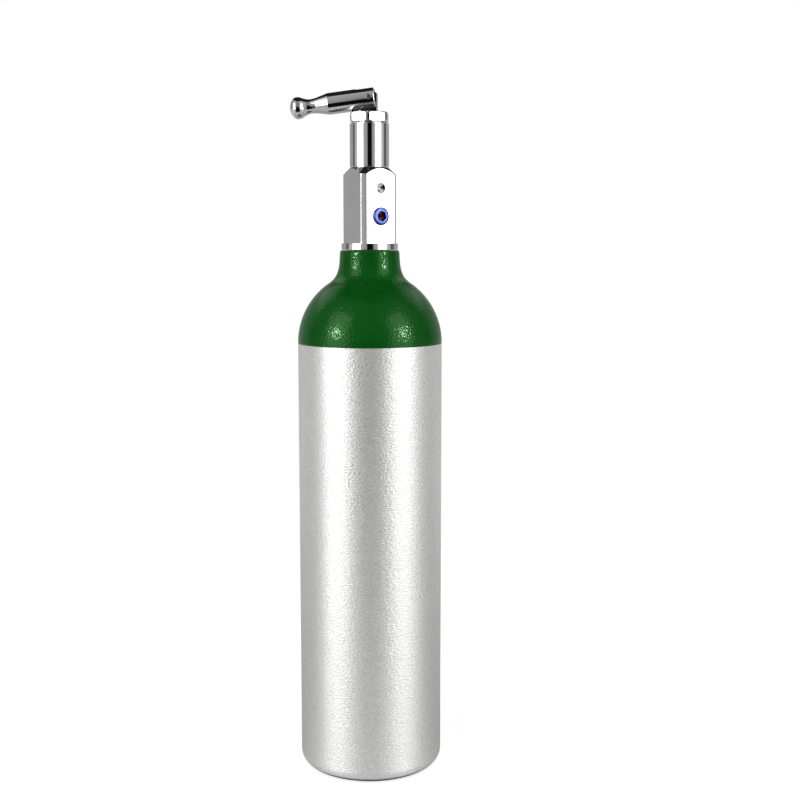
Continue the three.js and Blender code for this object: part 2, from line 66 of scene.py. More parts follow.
SHELL_LOW, SHELL_HIGH = low_high("cylinder_shell")
WALL_R = SHELL_HIGH.x
NECK_TOP = SHELL_HIGH.z
PAINT_LINE = low_high("shoulder_paint")[0].z
BODY_HIGH = low_high("valve_body")[1].z


# ---- mesh helpers ------------------------------------------------------------------------
def make_piece(name, verts, faces):
    mesh = bpy.data.meshes.new(name)
    mesh.from_pydata([tuple(v) for v in np.asarray(verts) * MM], [], faces)
    mesh.update()
    obj = bpy.data.objects.new(name, mesh)
    bpy.context.scene.collection.objects.link(obj)
    return obj


def skin(name, rings, loop=False):
    """A closed surface through rings of points. A ring of one point is a pole."""
    starts, verts, faces = [], [], []
    for ring in rings:
        starts.append((len(verts), len(ring)))
        verts.extend(ring)
    pairs = list(zip(starts, starts[1:]))
    if loop:
        pairs.append((starts[-1], starts[0]))
    for (a, na), (b, nb) in pairs:
        n = max(na, nb)
        for i in range(n):
            j = (i + 1) % n
            if na == 1:
                faces.append((a, b + j, b + i))
            elif nb == 1:
                faces.append((a + i, a + j, b))
            else:
                faces.append((a + i, a + j, b + j, b + i))
    return make_piece(name, verts, faces)


def rounded(outline, steps=4, guard=0.12):
    """Points along an outline of (radius, height, fillet), with an arc at each filleted corner.

    A guard point beside each arc keeps the shading of the straight stretch flat.
    """
    n = len(outline)
    out = []
    for i, (r, z, fillet) in enumerate(outline):
        here = np.array([r, z])
        if fillet <= 0 or i in (0, n - 1):
            out.append(here)
            continue
        back = np.array(outline[i - 1][:2]) - here
        ahead = np.array(outline[i + 1][:2]) - here
        lb, la = np.linalg.norm(back), np.linalg.norm(ahead)
        back, ahead = back / lb, ahead / la
        half = math.acos(max(-1.0, min(1.0, float(back @ ahead)))) / 2
        t = min(fillet / math.tan(half), 0.46 * lb, 0.46 * la)
        w = math.sin(half)
        p0, p2 = here + back * t, here + ahead * t
        if lb - t > 4 * guard:
            out.append(p0 + back * guard)
        for k in range(steps + 1):
            s = k / steps
            a, b, c = (1 - s) ** 2, 2 * s * (1 - s) * w, s * s
            out.append((p0 * a + here * b + p2 * c) / (a + b + c))
        if la - t > 4 * guard:
            out.append(p2 + ahead * guard)
    return [(float(p[0]), float(p[1])) for p in out]


def even_turns(n):
    return np.arange(n) * (2 * math.pi / n)


def ring_at(radius, z, turns):
    """A ring of points at the given turns, or at that many even ones.

    The radius is one number, or one value for each point.
    """
    if np.isscalar(radius) and radius < 1e-6:
        return [np.array([0.0, 0.0, z])]
    turns = even_turns(turns) if np.isscalar(turns) else turns
    radius = np.broadcast_to(radius, turns.shape)
    heights = np.full(turns.shape, z)
    return list(np.stack([radius * np.cos(turns), radius * np.sin(turns), heights], 1))


def turned(name, points, n=192, loop=False):
    return skin(name, [ring_at(r, z, n) for r, z in points], loop)


def place(obj, matrix):
    """Move a piece's mesh, given in millimetres; its object stays at the origin."""
    scale = Matrix.Scale(MM, 4)
    obj.data.transform(scale @ matrix @ scale.inverted())
    return obj


LIE_DOWN = Matrix.Rotation(math.pi / 2, 4, "X")


def outwards(heading, z):
    """Placement that turns a piece drawn along +Z to point away from the valve axis."""
    return Matrix.Translation((0, 0, z)) @ Matrix.Rotation(heading, 4, "Z") @ LIE_DOWN


BACK_FACE = POST_TURN
FRONT_FACE = POST_TURN + math.pi


def polygon_radius(turns, sides, apothem, face_at):
    step = 2 * math.pi / sides
    return apothem / np.cos((turns - face_at + step / 2) % step - step / 2)


def polygon_turns(sides, face_at, edge, fillet, flat_steps, corner_steps):
    """Turns round a polygon with turned corners, close together where a flat meets its corner.

    edge: degrees from the middle of a flat to where its corner starts; fillet: degrees either side.
    """
    step = 360.0 / sides
    flat = np.linspace(-(edge - fillet), edge - fillet, flat_steps, endpoint=False)
    near = np.linspace(edge - fillet, edge + fillet, 9, endpoint=False)
    corner = np.linspace(edge + fillet, step - edge - fillet, corner_steps, endpoint=False)
    far = np.linspace(step - edge - fillet, step - edge + fillet, 9, endpoint=False)
    one = np.concatenate([flat, near, corner, far])
    return np.radians(np.concatenate([one + k * step for k in range(sides)])) + face_at


def smooth_min(a, b, k):
    """The lesser of two radii, blended over a band of k where they cross."""
    h = np.clip(0.5 + 0.5 * (b - a) / k, 0, 1)
    return b * (1 - h) + a * h - k * h * (1 - h)


def boolean(obj, cutters, operation="DIFFERENCE"):
    for cutter in cutters:
        mod = obj.modifiers.new("cut", "BOOLEAN")
        mod.operation = operation
        mod.solver = "EXACT"
        mod.object = cutter
        bake(obj)
        mesh = cutter.data
        bpy.data.objects.remove(cutter)
        bpy.data.meshes.remove(mesh)
    return obj


def bake(obj):
    """Apply an object's modifiers to its mesh."""
    graph = bpy.context.evaluated_depsgraph_get()
    mesh = bpy.data.meshes.new_from_object(obj.evaluated_get(graph), depsgraph=graph)
    old = obj.data
    obj.modifiers.clear()
    obj.data = mesh
    mesh.name = obj.name
    bpy.data.meshes.remove(old)
    return obj


def soften(obj, width, angle=35, segments=2):
    """Round every edge sharper than the angle."""
    mod = obj.modifiers.new("soften", "BEVEL")
    mod.width = width * MM
    mod.segments = segments
    mod.limit_method = "ANGLE"
    mod.angle_limit = math.radians(angle)
    mod.harden_normals = False
    mod.use_clamp_overlap = True
    return bake(obj)


def finish_shading(obj, sharp_angle=50):
    obj.data.shade_smooth()
    obj.data.set_sharp_from_angle(angle=math.radians(sharp_angle))
    mod = obj.modifiers.new("normals", "WEIGHTED_NORMAL")
    mod.keep_sharp = True
    mod.weight = 100
    return obj


def box_solid(name, size, centre, turn=0.0):
    bm = bmesh.new()
    bmesh.ops.create_cube(bm, size=1.0)
    matrix = Matrix.Rotation(turn, 4, "Z") @ Matrix.Translation(centre) @ Matrix.Diagonal((*size, 1))
    bm.transform(Matrix.Scale(MM, 4) @ matrix)
    mesh = bpy.data.meshes.new(name)
    bm.to_mesh(mesh)
    bm.free()
    obj = bpy.data.objects.new(name, mesh)
    bpy.context.scene.collection.objects.link(obj)
    return obj


# ---- material helpers --------------------------------------------------------------------
class Shader:
    """A short way to write one Principled material's node tree."""

    def __init__(self, name, **constants):
        self.mat = bpy.data.materials.new(name)
        self.mat.use_nodes = True
        self.tree = self.mat.node_tree
        self.bsdf = self.tree.nodes["Principled BSDF"]
        for key, value in constants.items():
            self.bsdf.inputs[key.replace("_", " ")].default_value = value
        self.coords = self.tree.nodes.new("ShaderNodeTexCoord").outputs["Object"]

    def link(self, source, target):
        self.tree.links.new(source, target)

    def scaled(self, x, y, z):
        node = self.tree.nodes.new("ShaderNodeMapping")
        node.inputs["Scale"].default_value = (x, y, z)
        self.link(self.coords, node.inputs["Vector"])
        return node.outputs["Vector"]

    def split(self, axis):
        node = self.tree.nodes.new("ShaderNodeSeparateXYZ")
        self.link(self.coords, node.inputs[0])
        return node.outputs[axis]

    def noise(self, scale, detail=3.0, roughness=0.55, stretch=None, distortion=0.0):
        node = self.tree.nodes.new("ShaderNodeTexNoise")
        node.inputs["Scale"].default_value = scale
        node.inputs["Detail"].default_value = detail
        node.inputs["Roughness"].default_value = roughness
        node.inputs["Distortion"].default_value = distortion
        self.link(self.scaled(*stretch) if stretch else self.coords, node.inputs["Vector"])
        return node.outputs["Fac"]

    def ramp(self, value, low, high, out_low=0.0, out_high=1.0):
        node = self.tree.nodes.new("ShaderNodeMapRange")
        self.link(value, node.inputs["Value"])
        node.inputs["From Min"].default_value = low
        node.inputs["From Max"].default_value = high
        node.inputs["To Min"].default_value = out_low
        node.inputs["To Max"].default_value = out_high
        return node.outputs["Result"]

    def maths(self, operation, a, b):
        node = self.tree.nodes.new("ShaderNodeMath")
        node.operation = operation
        for slot, value in zip(node.inputs, (a, b)):
            if isinstance(value, (int, float)):
                slot.default_value = value
            else:
                self.link(value, slot)
        return node.outputs["Value"]

    def mix(self, factor, a, b):
        node = self.tree.nodes.new("ShaderNodeMix")
        node.data_type = "RGBA"
        self.link(factor, node.inputs[0])
        for slot, value in ((node.inputs[6], a), (node.inputs[7], b)):
            if isinstance(value, tuple):
                slot.default_value = (*value, 1.0)
            else:
                self.link(value, slot)
        return node.outputs[2]

    def bump(self, height, distance, strength=1.0, normal=None):
        node = self.tree.nodes.new("ShaderNodeBump")
        node.inputs["Strength"].default_value = strength
        node.inputs["Distance"].default_value = distance
        self.link(height, node.inputs["Height"])
        if normal:
            self.link(normal, node.inputs["Normal"])
        return node.outputs["Normal"]

    def to(self, slot, output):
        self.link(output, self.bsdf.inputs[slot])
        return self


# ---- materials ---------------------------------------------------------------------------
def brushed_aluminium():
    s = Shader("brushed_aluminium", Metallic=0.76, Anisotropic=0.70, Anisotropic_Rotation=0.25)
    hair = s.noise(1.0, 4.0, 0.7, stretch=(90, 90, 5200))
    band = s.noise(1.0, 2.0, 0.5, stretch=(18, 18, 900))
    cloud = s.noise(26.0, 3.0, 0.6)
    fleck = s.noise(1.0, 2.0, 0.7, stretch=(850, 850, 1900))
    glint = s.noise(1.0, 1.0, 0.5, stretch=(700, 700, 2100))
    tone = s.mix(s.ramp(hair, 0.3, 0.7), (0.96, 0.96, 0.955), (1.0, 1.0, 0.99))
    tone = s.mix(s.ramp(cloud, 0.35, 0.7, 0.0, 0.35), tone, (0.93, 0.93, 0.915))
    tone = s.mix(s.ramp(fleck, 0.32, 0.68, 0.0, 0.6), tone, (0.60, 0.60, 0.59))
    # painted contact shade: the lowest few millimetres of the foot are darkened, mottled by the cloud
    # noise, standing in for the shadow where the base meets the floor
    low_down = s.ramp(s.split("Z"), 0.0020, 0.0034, 0.96, 0.0)
    contact_shade = s.maths("MULTIPLY", low_down, s.ramp(cloud, 0.2, 0.5, 0.75, 1.0))
    tone = s.mix(contact_shade, tone, (0.035, 0.035, 0.035))
    s.to("Base Color", tone)
    uneven = s.ramp(cloud, 0.3, 0.7, -0.02, 0.03)
    s.to("Roughness", s.maths("ADD", s.ramp(hair, 0.25, 0.75, 0.40, 0.50), uneven))
    height = s.maths("ADD", s.maths("MULTIPLY", hair, 0.7), s.maths("MULTIPLY", band, 0.5))
    s.to("Normal", s.bump(glint, 0.00026, 1.0, s.bump(height, 0.00006, 0.6)))
    tangent = s.tree.nodes.new("ShaderNodeTangent")
    tangent.direction_type = "RADIAL"
    tangent.axis = "Z"
    s.to("Tangent", tangent.outputs["Tangent"])
    return s.mat


def green_enamel():
    s = Shader("green_enamel", Metallic=0.0, IOR=1.3, Specular_Tint=(0.5, 1.0, 0.5, 1.0))
    cloud = s.noise(30.0, 3.0, 0.55)
    peel = s.noise(800.0, 1.0, 0.5)
    dust = s.noise(2600.0, 2.0, 0.6)
    tone = s.mix(s.ramp(cloud, 0.3, 0.7), (0.0020, 0.065, 0.0054), (0.0031, 0.081, 0.0072))
    tone = s.mix(s.ramp(dust, 0.72, 0.8, 0.0, 0.25), tone, (0.03, 0.2, 0.04))
    s.to("Base Color", tone)
    s.to("Roughness", s.ramp(s.noise(220.0, 3.0, 0.6), 0.3, 0.7, 0.09, 0.14))
    normal = s.bump(peel, 0.00018, 1.0)
    s.to("Normal", s.bump(dust, 0.00003, 0.25, normal))
    return s.mat


def chrome(name, hair_scale, level=0.86):
    s = Shader(name, Metallic=1.0)
    cloud = s.noise(90.0, 3.0, 0.55)
    hair = s.noise(1.0, 3.0, 0.65, stretch=hair_scale)
    dark = (level * 0.93, level * 0.93, level * 0.94)
    tone = s.mix(s.ramp(cloud, 0.3, 0.7), dark, (level, level, level * 1.005))
    s.to("Base Color", tone)
    wipe = s.ramp(s.noise(160.0, 4.0, 0.7), 0.5, 0.72, 0.0, 0.035)
    s.to("Roughness", s.maths("ADD", s.ramp(hair, 0.3, 0.7, 0.045, 0.075), wipe))
    normal = s.bump(cloud, 0.00012, 0.12)
    s.to("Normal", s.bump(hair, 0.00001, 0.22, normal))
    return s.mat


def blue_anodised():
    s = Shader("blue_anodised", Metallic=1.0)
    cloud = s.noise(400.0, 3.0, 0.55)
    turn = s.noise(3000.0, 2.0, 0.5)
    tone = s.mix(s.ramp(cloud, 0.3, 0.7), (0.07, 0.10, 0.40), (0.10, 0.15, 0.54))
    s.to("Base Color", tone)
    s.to("Roughness", s.ramp(cloud, 0.3, 0.7, 0.16, 0.26))
    s.to("Normal", s.bump(turn, 0.00002, 0.3))
    return s.mat


def bronzed_socket():
    s = Shader("bronzed_socket", Metallic=0.9)
    cloud = s.noise(700.0, 3.0, 0.6)
    s.to("Base Color", s.mix(s.ramp(cloud, 0.3, 0.7), (0.12, 0.025, 0.025), (0.24, 0.075, 0.06)))
    s.to("Roughness", s.ramp(cloud, 0.3, 0.7, 0.28, 0.42))
    s.to("Normal", s.bump(cloud, 0.00003, 0.4))
    return s.mat


def plain_metal(name, tone_a, tone_b, rough=0.3):
    s = Shader(name, Metallic=1.0)
    turn = s.noise(1.0, 3.0, 0.6, stretch=(200, 200, 6000))
    cloud = s.noise(180.0, 3.0, 0.55)
    s.to("Base Color", s.mix(s.ramp(cloud, 0.3, 0.7), tone_a, tone_b))
    s.to("Roughness", s.ramp(turn, 0.3, 0.7, rough - 0.05, rough + 0.08))
    s.to("Normal", s.bump(turn, 0.00003, 0.3))
    return s.mat


def plain_soft(name, tone_a, tone_b, rough=0.6):
    s = Shader(name, Metallic=0.0)
    cloud = s.noise(300.0, 3.0, 0.55)
    grain = s.noise(4000.0, 2.0, 0.6)
    s.to("Base Color", s.mix(s.ramp(cloud, 0.3, 0.7), tone_a, tone_b))
    s.to("Roughness", s.ramp(grain, 0.3, 0.7, rough - 0.06, rough + 0.08))
    s.to("Normal", s.bump(grain, 0.00003, 0.3))
    return s.mat


ALUMINIUM = brushed_aluminium()
ENAMEL = green_enamel()
CHROME_TURNED = chrome("chrome_turned", (300, 300, 7000))
CHROME_LEVER = chrome("chrome_lever", (4200, 700, 700))
STEEL = chrome("polished_steel", (500, 500, 5000), 0.72)
BLUE = blue_anodised()
SOCKET = bronzed_socket()
# painted shade: a near-black metal for the inside of the hollow pin, where the steel shows only shade
BORE = plain_metal("painted_bore_shade", (0.03, 0.03, 0.03), (0.05, 0.05, 0.05), 0.45)
BRASS = plain_metal("turned_brass", (0.60, 0.42, 0.16), (0.72, 0.52, 0.22))
COPPER = plain_metal("copper_disc", (0.60, 0.27, 0.14), (0.72, 0.36, 0.20))
RUBBER = plain_soft("black_rubber", (0.012, 0.012, 0.012), (0.03, 0.03, 0.03), 0.75)
NYLON = plain_soft("white_nylon", (0.70, 0.68, 0.60), (0.80, 0.78, 0.72), 0.5)


def dress(obj, material, body, slot, *nodes):
    obj.data.materials.clear()
    obj.data.materials.append(material)
    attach(obj, body)
    if nodes:
        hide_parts(*nodes)
    return obj


# ---- cylinder ----------------------------------------------------------------------------
BASE_EDGE_R = 7.3
FOOT_INNER_R = 27.0
BASE_DISH = 6.0
BASE_T = 8.0
BASE_INNER_CORNER = 14
INNER_DOME_H = 28.0
WALL_T = 5.0
SHOULDER_END_DEG = 57.2
NECK_BORE_R = 9.0
GLAND_R = 11.4
GLAND_FLOOR = 294.5
PAINT_T = 0.3
PAINT_GAP = 0.2
PAINT_PROUD = 0.05
# (radius, height) from the shoulder into the neck. Not drawn from a formula: solved from the neck's
# outline in the photo, with points put in between.
NECK_OUTLINE = [
    (20.85, 280.3), (20.1, 281.1), (19.42, 282.0), (18.9, 282.85), (18.45, 283.8), (18.05, 284.85),
    (17.7, 286.0), (17.42, 287.2), (17.2, 288.5), (17.04, 289.9), (16.93, 291.3), (16.84, 292.8),
    (16.76, 294.3), (16.66, 295.5),
]


def arc(centre_r, centre_z, radius_r, radius_z, start, end, steps):
    turn = np.radians(np.linspace(start, end, steps + 1))
    return [(centre_r + radius_r * math.cos(t), centre_z + radius_z * math.sin(t)) for t in turn]


def shoulder_outline(inset):
    dome = arc(0, PAINT_LINE, WALL_R - inset, WALL_R - inset, 0, SHOULDER_END_DEG, 48)
    return dome + [(r - inset, z) for r, z in NECK_OUTLINE]


def build_shell():
    inner_r = WALL_R - WALL_T
    floor = BASE_DISH + BASE_T
    under = PAINT_T + PAINT_GAP - PAINT_PROUD
    foot_r = WALL_R - BASE_EDGE_R
    points = []
    for r in np.linspace(0, FOOT_INNER_R - 1.2, 16):
        points.append((float(r), float(BASE_DISH * (1 - (r / FOOT_INNER_R) ** 2))))
    points += [(FOOT_INNER_R - 0.6, 0.18), (FOOT_INNER_R, 0.03)]
    points += [(FOOT_INNER_R + 0.7, 0.0), (foot_r - 0.8, 0.0)]
    points += arc(foot_r, BASE_EDGE_R, BASE_EDGE_R, BASE_EDGE_R, -90, 0, 18)
    points += [(WALL_R, z) for z in np.linspace(BASE_EDGE_R + 1, PAINT_LINE - 1.2, 30)]
    points += rounded([
        (WALL_R, PAINT_LINE - 1.0, 0), (WALL_R, PAINT_LINE - 0.15, 0.1),
        (WALL_R - under, PAINT_LINE - 0.15, 0)])[1:]
    points += shoulder_outline(under)[1:]
    points += rounded([
        (16.4 - under, 296.3, 0), (15.9 - under, NECK_TOP, 0.4), (GLAND_R, NECK_TOP, 0.15),
        (GLAND_R, GLAND_FLOOR, 0.2), (NECK_BORE_R, GLAND_FLOOR, 0.2), (NECK_BORE_R, 290.0, 0)])
    points += [(NECK_BORE_R, z) for z in (285.0, 280.0, 275.0)]
    points += arc(0, PAINT_LINE, inner_r, INNER_DOME_H, 75.4, 0, 24)
    corner = BASE_INNER_CORNER
    points += arc(inner_r - corner, floor + corner, corner, corner, 0, -90, 12)
    points += [(r, floor) for r in (16.0, 8.0, 0.0)]
    return turned("shell_fine", points, 224)


def build_paint():
    outside = shoulder_outline(-PAINT_PROUD)
    inside = shoulder_outline(PAINT_T - PAINT_PROUD)
    lip_r = WALL_R + PAINT_PROUD
    lip = [(lip_r - 0.1, PAINT_LINE), (lip_r - 0.02, PAINT_LINE + 0.04)]
    top = [(16.62, 296.1), (16.5, 296.5), (16.25, 296.8), (15.95, 296.9), (15.8, 296.85)]
    return turned("paint_fine", lip + outside[1:] + top + inside[::-1], 224, loop=True)


dress(finish_shading(build_shell()), ALUMINIUM, "cylinder", "bare_aluminium", "cylinder_shell")
paint = dress(finish_shading(build_paint()), ENAMEL, "cylinder", "green_enamel", "shoulder_paint")
# some lights are linked to this collection, to place the enamel's highlights
ENAMEL_ONLY = bpy.data.collections.new("enamel_only")
ENAMEL_ONLY.objects.link(paint)

# ---- valve body --------------------------------------------------------------------------
STEM_BOTTOM = 271.5
STEM_BORE_R = 2.7
STEM_R = 8.7
COLLAR_R = 15.8
COLLAR_BOTTOM = 297.1
COLLAR_TOP = 300.7
POST_R = 14.77
TOWER_R = 10.93
CONE_FOOT = 338.6
TOWER_FOOT = CONE_FOOT + POST_R - TOWER_R
GROOVE_H = 0.62
BONNET_THREAD_R = 8.6
BODY_RIM_R = 10.53
INDEX_RADIUS = 14.3  # from the outlet's centre to each index pin hole
INDEX_ANGLE = math.radians(18)
DIMPLE_R = 3.0
DIMPLE_HALF_ANGLE = 63.5
EDGE_BLEND = 0.16
VALVE_TURNS = polygon_turns(4, BACK_FACE - math.pi / 2, 38.24, 0.6, 56, 6)


def bore_outline():
    return rounded([
        (BODY_RIM_R, BODY_HIGH, 0), (BONNET_THREAD_R, BODY_HIGH, 0.2), (BONNET_THREAD_R, 350.0, 0.2),
        (6.9, 350.0, 0.2), (6.9, 345.0, 0.1), (5.9, 345.0, 0.15), (5.9, 335.6, 0.1),
        (4.6, 335.6, 0.15), (4.6, 329.0, 0.1), (1.6, 329.0, 0.15), (1.6, 279.0, 0.1),
        (STEM_BORE_R, 279.0, 0.1), (STEM_BORE_R, STEM_BOTTOM, 0)], 2)[1:]


def valve_skin():
    turns = VALVE_TURNS
    square = polygon_radius(turns, 4, POST_FLAT, BACK_FACE - math.pi / 2)
    below = rounded([
        (STEM_BORE_R, STEM_BOTTOM, 0), (7.7, STEM_BOTTOM, 0.2), (STEM_R, 272.5, 0.2),
        (STEM_R, COLLAR_BOTTOM, 0.15), (COLLAR_R, COLLAR_BOTTOM, 0.3), (COLLAR_R, COLLAR_TOP, 0.3),
        (15.3, COLLAR_TOP, 0)], 4)[1:]
    rings = [ring_at(r, z, turns) for r, z in below]
    root = smooth_min(np.full(turns.shape, POST_R), square, EDGE_BLEND)
    rings.append(ring_at(root + 0.2, COLLAR_TOP, turns))
    rings.append(ring_at(root + 0.05, 300.75, turns))
    for z in (300.9, 302, 306, 310, 314, 318, 322, 326, 330, 334, 337, 338.0, 338.25):
        rings.append(ring_at(root, z, turns))
    for z in np.arange(338.36, TOWER_FOOT - 0.05, 0.09):
        cone = smooth_min(np.float64(POST_R), POST_R + CONE_FOOT - z, 0.2)
        rings.append(ring_at(smooth_min(np.full(turns.shape, cone), square, EDGE_BLEND), z, turns))
    half = GROOVE_H / 2
    groove = arc(TOWER_R + 0.02, TOWER_FOOT + half, -0.42, half, -90, 90, 10)
    above = rounded([
        (TOWER_R, TOWER_FOOT + GROOVE_H, 0), (TOWER_R, 350, 0), (TOWER_R, 358, 0),
        (TOWER_R, BODY_HIGH, 0.55), (BODY_RIM_R, BODY_HIGH, 0)], 4)
    rings += [ring_at(r, z, turns) for r, z in groove + above[1:-1] + bore_outline()[:-1]]
    rings.append(ring_at(STEM_BORE_R, STEM_BOTTOM, turns))
    return skin("valve_body_fine", rings, loop=True)


def cutter(outline, segments, heading, z, sideways=0.0):
    """A turned cutter of (radius, distance out, fillet) that points away from the valve axis."""
    tool = turned("cutter", rounded(outline), segments)
    place(tool, Matrix.Translation((sideways, 0, 0)))
    return place(tool, outwards(heading, z))


def build_valve_body():
    far = POST_FLAT + 2
    outlet = [
        (0, 3.5, 0), (1.2, 3.5, 0), (1.2, POST_FLAT - 6, 0), (3.5, POST_FLAT - 6, 0.2),
        (3.5, POST_FLAT - 0.3, 0), (4.1, POST_FLAT + 0.3, 0), (4.1, far, 0), (0, far, 0)]
    cutters = [cutter(outlet, 64, FRONT_FACE, OUTLET_Z)]
    index_hole = [
        (0, POST_FLAT - 6.6, 0), (2.4, POST_FLAT - 5.3, 0), (2.4, POST_FLAT - 0.2, 0),
        (2.8, POST_FLAT + 0.2, 0), (2.8, far, 0), (0, far, 0)]
    for angle in (-INDEX_ANGLE, INDEX_ANGLE):
        drop, sideways = INDEX_RADIUS * math.cos(angle), INDEX_RADIUS * math.sin(angle)
        cutters.append(cutter(index_hole, 48, FRONT_FACE, OUTLET_Z - drop, sideways))
    depth = DIMPLE_R / math.tan(math.radians(DIMPLE_HALF_ANGLE))
    slope = [(r, POST_FLAT - depth * (1 - r / DIMPLE_R), 0) for r in (0.12, 0.6, 1.8, 2.9)]
    cutters.append(cutter([
        (0, POST_FLAT - depth * 0.97, 0), *slope, (3.06, POST_FLAT + 0.04, 0),
        (3.3, POST_FLAT + 0.4, 0), (3.3, far, 0), (0, far, 0)], 96, BACK_FACE, OUTLET_Z))
    cutters.append(cutter([
        (0, 0.5, 0), (1.0, 0.5, 0), (1.0, 5.1, 0), (4.4, 5.1, 0), (4.4, far, 0), (0, far, 0)],
        64, BACK_FACE, RELIEF_Z))
    return boolean(valve_skin(), cutters)


dress(finish_shading(build_valve_body(), 25), CHROME_TURNED, "cylinder", "chrome_plate", "valve_body")


# ---- relief plug -------------------------------------------------------------------------
def build_relief_plug():
    start = 6.8
    head = POST_FLAT + 0.2
    top = POST_FLAT + 1.4
    n = 144
    hexagon = polygon_radius(even_turns(n), 6, 2.5, math.radians(12))
    hexagon = smooth_min(np.full(n, 2.86), hexagon, 0.12)
    outside = rounded([
        (1.0, start, 0), (4.1, start, 0.2), (4.1, head, 0.05), (5.0, head, 0.12),
        (5.0, head + 0.35, 0.25), (4.45, top - 0.18, 0.35), (3.6, top, 0.3), (3.1, top, 0)], 4)[1:]
    rings = [ring_at(r, z, n) for r, z in outside]
    for grow, z in ((0.28, top), (0.1, top - 0.05), (0.0, top - 0.2), (0.0, top - 0.3), (0.0, top - 2.4)):
        rings.append(ring_at(hexagon + grow, z, n))
    rings.append(ring_at(hexagon - 0.15, top - 2.55, n))
    rings += [ring_at(1.2, top - 3.1, n), ring_at(1.0, top - 3.2, n), ring_at(1.0, start, n)]
    plug = skin("relief_plug_fine", rings, loop=True)
    return place(plug, outwards(BACK_FACE, RELIEF_Z))


relief = dress(finish_shading(build_relief_plug(), 40), BLUE, "cylinder", "blue_anodised", "relief_plug")
relief.data.materials.append(SOCKET)
# faces inside the hexagon socket take the socket's own material
toward = Vector((math.sin(BACK_FACE), -math.cos(BACK_FACE), 0))
for face in relief.data.polygons:
    spot = face.center - Vector((0, 0, RELIEF_Z * MM))
    out = spot.dot(toward)
    if (spot - toward * out).length < 2.95 * MM and out < (POST_FLAT + 1.1) * MM:
        face.material_index = 1


# ---- bonnet nut --------------------------------------------------------------------------
HEX_FACE_AT = math.radians(-5.3)
HEX_FLAT = 10.32
NUT_CORNER_R = 11.3
NUT_FACE_R = 9.9
NUT_LOW = 367.0
NUT_HIGH = 372.85
NUT_BORE_R = 5.0
SHANK_R = 8.3
SHANK_BOTTOM = 351.1
NUT_TURNS = polygon_turns(6, HEX_FACE_AT, 24.05, 0.6, 24, 6)


def build_bonnet_nut():
    turns = NUT_TURNS
    low, high = NUT_LOW, NUT_HIGH
    hexagon = polygon_radius(turns, 6, HEX_FLAT, HEX_FACE_AT)
    shank = rounded([
        (8.0, SHANK_BOTTOM, 0), (SHANK_R, 351.4, 0.2), (SHANK_R, 356.0, 0), (SHANK_R, low, 0.1),
        (9.4, low, 0)], 3)
    crown = rounded([
        (9.0, low, 0), (NUT_FACE_R, low, 0.2), (NUT_CORNER_R, low + 0.85, 0.8),
        (NUT_CORNER_R, high - 0.85, 0.8), (NUT_FACE_R, high, 0.35), (5.4, high, 0)], 12)
    bore = rounded([
        (5.6, high, 0), (NUT_BORE_R, high, 0.25), (NUT_BORE_R, SHANK_BOTTOM, 0.2),
        (8.0, SHANK_BOTTOM, 0)], 4)
    rings = [ring_at(r, z, turns) for r, z in shank[:-1]]
    for r, z in crown[1:-1]:
        radius = r if r < 9.7 else smooth_min(np.full(turns.shape, r), hexagon, 0.1)
        rings.append(ring_at(radius, z, turns))
    rings += [ring_at(r, z, turns) for r, z in bore[1:-1]]
    return skin("bonnet_nut_fine", rings, loop=True)


dress(finish_shading(build_bonnet_nut(), 60), CHROME_TURNED, "cylinder", "chrome_plate", "bonnet_nut")


# ---- spindle -----------------------------------------------------------------------------
FLAT_PLAY = math.radians(1.8)  # the tongue stands turned by its play in the lever's slot
SPINDLE_R = 4.7
SPINDLE_BOTTOM = 346.2
SPINDLE_TOP = 383.7
GROOVE_BOTTOMS = (354.6, 361.4)  # one groove for each O-ring and its backup ring
SEAL_GROOVE_R = 3.1
SEAL_GROOVE_H = 3.2
TONGUE_HALF = 2.3
TONGUE_FOOT = 373.25


def build_spindle():
    outline = [
        (0, SPINDLE_BOTTOM, 0), (6.5, SPINDLE_BOTTOM, 0.2), (6.5, 348.8, 0.2), (SPINDLE_R, 348.8, 0.15)]
    for z in GROOVE_BOTTOMS:
        above = z + SEAL_GROOVE_H
        outline += [
            (SPINDLE_R, z, 0.1), (SEAL_GROOVE_R, z, 0.2), (SEAL_GROOVE_R, above, 0.2),
            (SPINDLE_R, above, 0.1)]
    outline += [(SPINDLE_R, SPINDLE_TOP, 1.4), (0, SPINDLE_TOP, 0)]
    body = turned("spindle_fine", rounded(outline, 5), 128)
    cutters = []
    for side in (-1, 1):
        beside = (0, side * (TONGUE_HALF + 3), TONGUE_FOOT + 10)
        cutters.append(box_solid("cut_flat", (20, 6, 20), beside))
    hole = turned("cut_pin", [(0, -8), (1.45, -8), (1.45, 8), (0, 8)], 48)
    cutters.append(place(hole, Matrix.Translation((0, 0, PIN_Z)) @ LIE_DOWN))
    boolean(body, cutters)
    boolean(body, [box_solid("tang", (6.4, 2.4, 5.8), (0, 0, 341.4 + 2.9))], "UNION")
    soften(body, 0.18)
    return place(body, Matrix.Rotation(LEVER_YAW + FLAT_PLAY, 4, "Z"))


dress(finish_shading(build_spindle(), 40), STEEL, "spindle", "polished_steel", "spindle")


# ---- lever and pin -----------------------------------------------------------------------
LEVER_PLACE = (
    Matrix.Translation((0, 0, PIN_Z)) @ Matrix.Rotation(LEVER_YAW, 4, "Z")
    @ Matrix.Rotation(-LEVER_TILT, 4, "Y"))
LEVER_R = 5.97
LEVER_END = 3.25
NECK_R = 3.97
NECK_AT = 32.4
KNOB_AT = 40.5
KNOB_R = 6.1
KNOB_TIP = 44.65
PIN_ABOVE_AXIS = 0.64  # the pin sits a little above the bar's own axis
SLOT_REACH = 7.0
SLOT_W = 5.2


